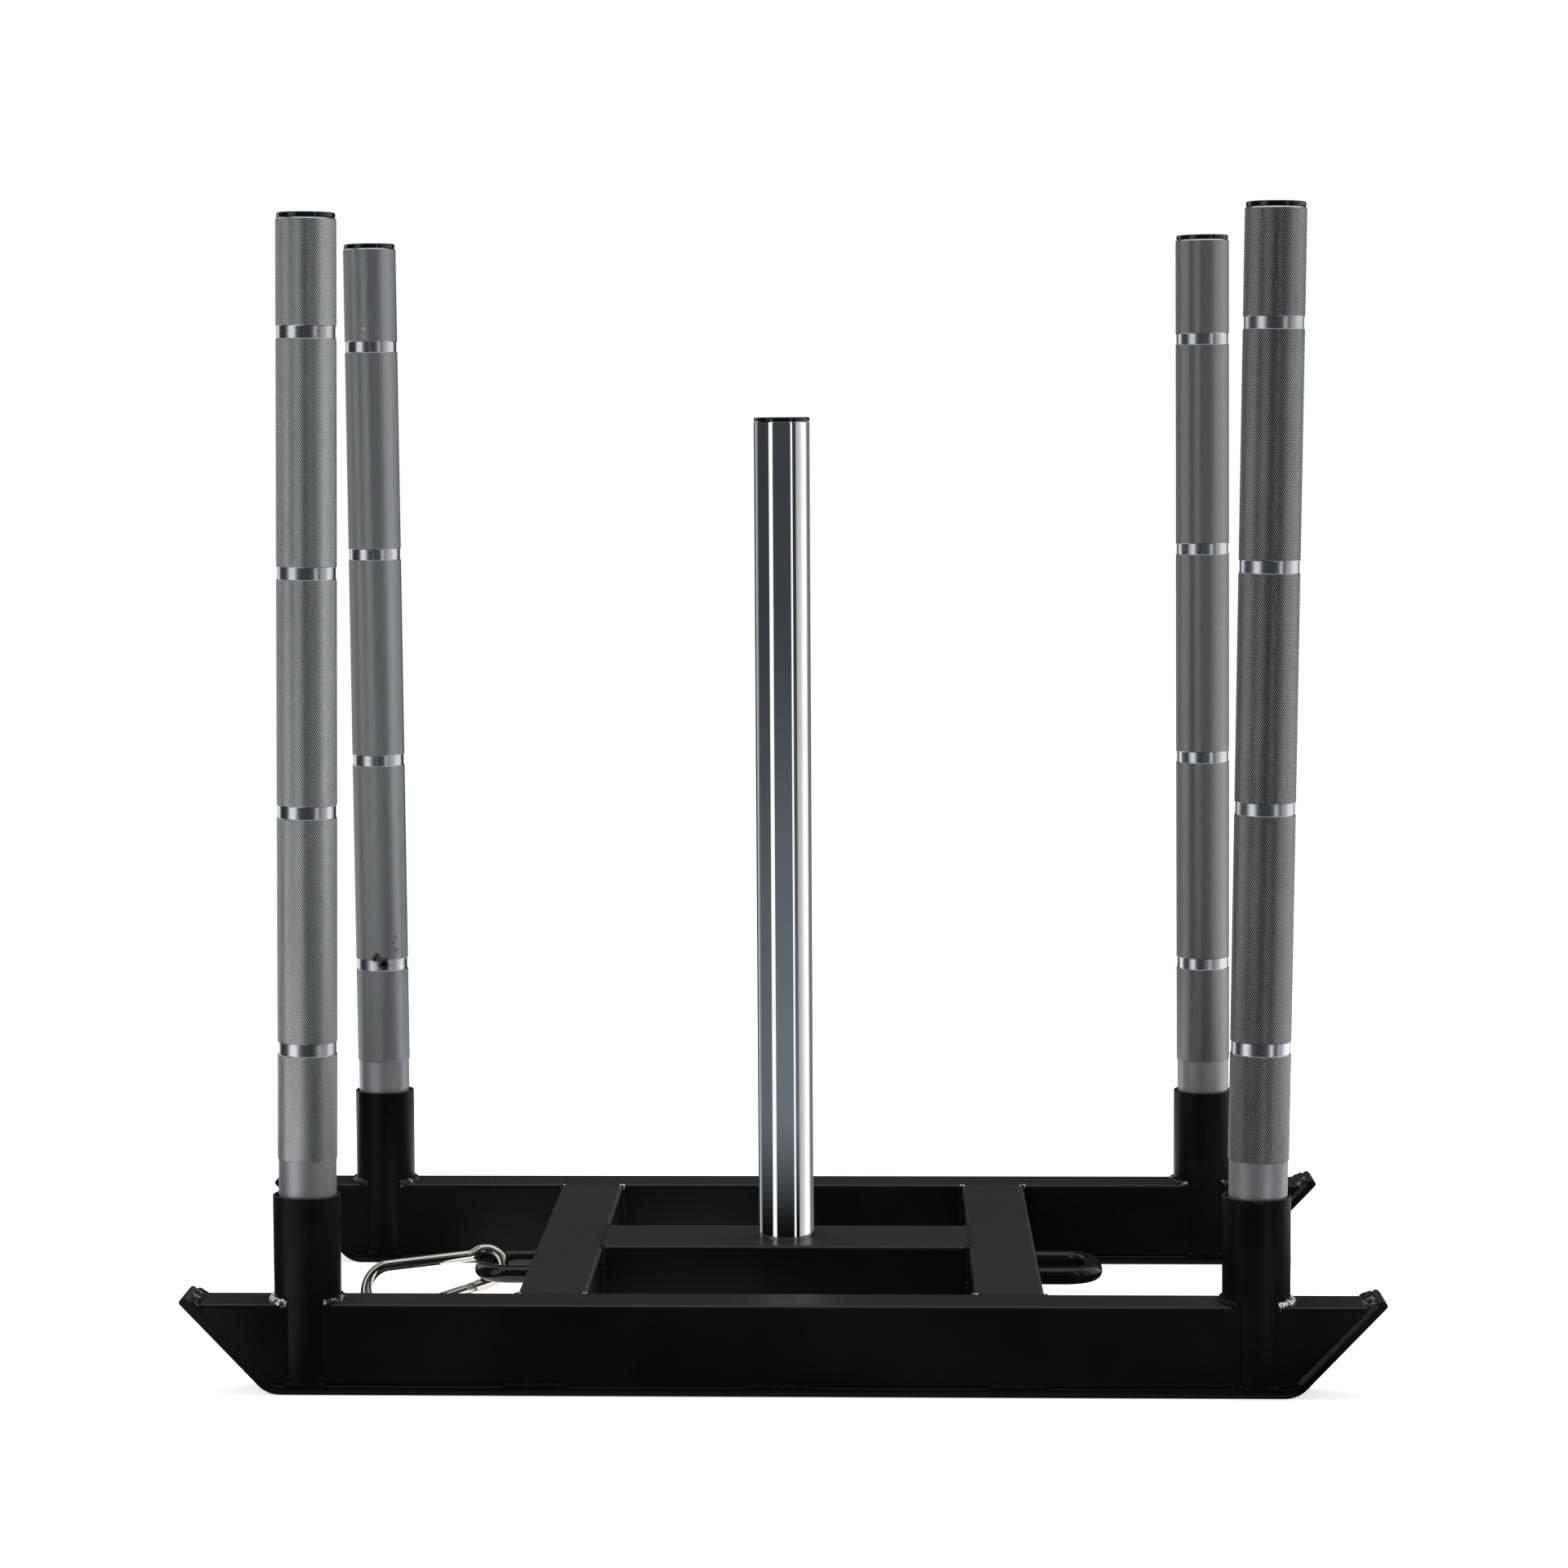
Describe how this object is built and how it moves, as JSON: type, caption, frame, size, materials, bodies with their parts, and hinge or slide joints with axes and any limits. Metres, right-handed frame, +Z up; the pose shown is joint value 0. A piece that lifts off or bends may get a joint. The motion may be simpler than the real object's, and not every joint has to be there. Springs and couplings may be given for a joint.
{
  "type": "push sled",
  "caption": "Push sled on two bent skid runners tied by crossbars and a beam with a weight post, with lift-out knurled push poles in sockets, bar tow loops and a snap hook",
  "frame": {"origin": "on the ground under the middle of the sled", "axes": "+X is the direction of travel, away from the end with the snap hook, +Y is to the left, +Z is up"},
  "size_m": [1.0138, 0.607, 0.9925],
  "materials": {
    "powder_coat": "satin black powder coat with a fine orange-peel texture, slightly worn along welds and edges",
    "knurled_steel": "zinc-plated steel, fine diamond knurl with smooth satin rings and ends",
    "post_chrome": "polished chrome plating",
    "end_cap": "moulded black plastic, semi-gloss",
    "hook_nickel": "bright nickel plating",
    "zinc_fasteners": "bright zinc plating"
  },
  "bodies": {
    "root": {"runner_right": "powder_coat", "skid_plate_right": "powder_coat", "socket_front_right": "powder_coat", "socket_rear_right": "powder_coat", "runner_left": "powder_coat", "skid_plate_left": "powder_coat", "socket_front_left": "powder_coat", "socket_rear_left": "powder_coat", "crossbar_front": "powder_coat", "tow_loop_front": "powder_coat", "crossbar_rear": "powder_coat", "tow_loop_rear": "powder_coat", "centre_beam": "powder_coat", "post_tube": "post_chrome", "post_cap": "end_cap", "post_foot_plug": "zinc_fasteners", "post_bolt": "zinc_fasteners", "post_washer": "zinc_fasteners"},
    "pole_front_right_body": {"pole_front_right": "knurled_steel", "pole_cap_front_right": "end_cap"},
    "pole_rear_right_body": {"pole_rear_right": "knurled_steel", "pole_cap_rear_right": "end_cap"},
    "pole_front_left_body": {"pole_front_left": "knurled_steel", "pole_cap_front_left": "end_cap"},
    "pole_rear_left_body": {"pole_rear_left": "knurled_steel", "pole_cap_rear_left": "end_cap"},
    "snap_hook": {"hook_body": "hook_nickel", "hook_gate_rivet": "hook_nickel"},
    "snap_hook_gate": {"hook_gate": "hook_nickel", "hook_latch_pin": "hook_nickel", "hook_gate_spring": "zinc_fasteners", "hook_gate_plunger": "zinc_fasteners"}
  },
  "joints": [
    {"name": "pole_lift_front_right", "type": "slide", "parent": "root", "child": "pole_front_right_body", "axis": [0.0138, 0, 0.9999], "range_m": [0, 0.165]},
    {"name": "pole_lift_rear_right", "type": "slide", "parent": "root", "child": "pole_rear_right_body", "axis": [0.0138, 0, 0.9999], "range_m": [0, 0.165]},
    {"name": "pole_lift_front_left", "type": "slide", "parent": "root", "child": "pole_front_left_body", "axis": [-0.004, 0, 1], "range_m": [0, 0.165]},
    {"name": "pole_lift_rear_left", "type": "slide", "parent": "root", "child": "pole_rear_left_body", "axis": [-0.004, 0, 1], "range_m": [0, 0.165]},
    {"name": "hook_swing", "type": "hinge", "parent": "root", "child": "snap_hook", "pos_m": [-0.2761, 0, 0.049], "axis": [0, 1, 0], "range_deg": [0, 125]},
    {"name": "hook_gate_hinge", "type": "hinge", "parent": "snap_hook", "child": "snap_hook_gate", "pos_m": [-0.28842, -0.00701, 0.02979], "axis": [0.0912, 0.9135, -0.3964], "range_deg": [0, 27], "stiffness_Nm_per_rad": 0.3, "springref_deg": -20.05}
  ]
}
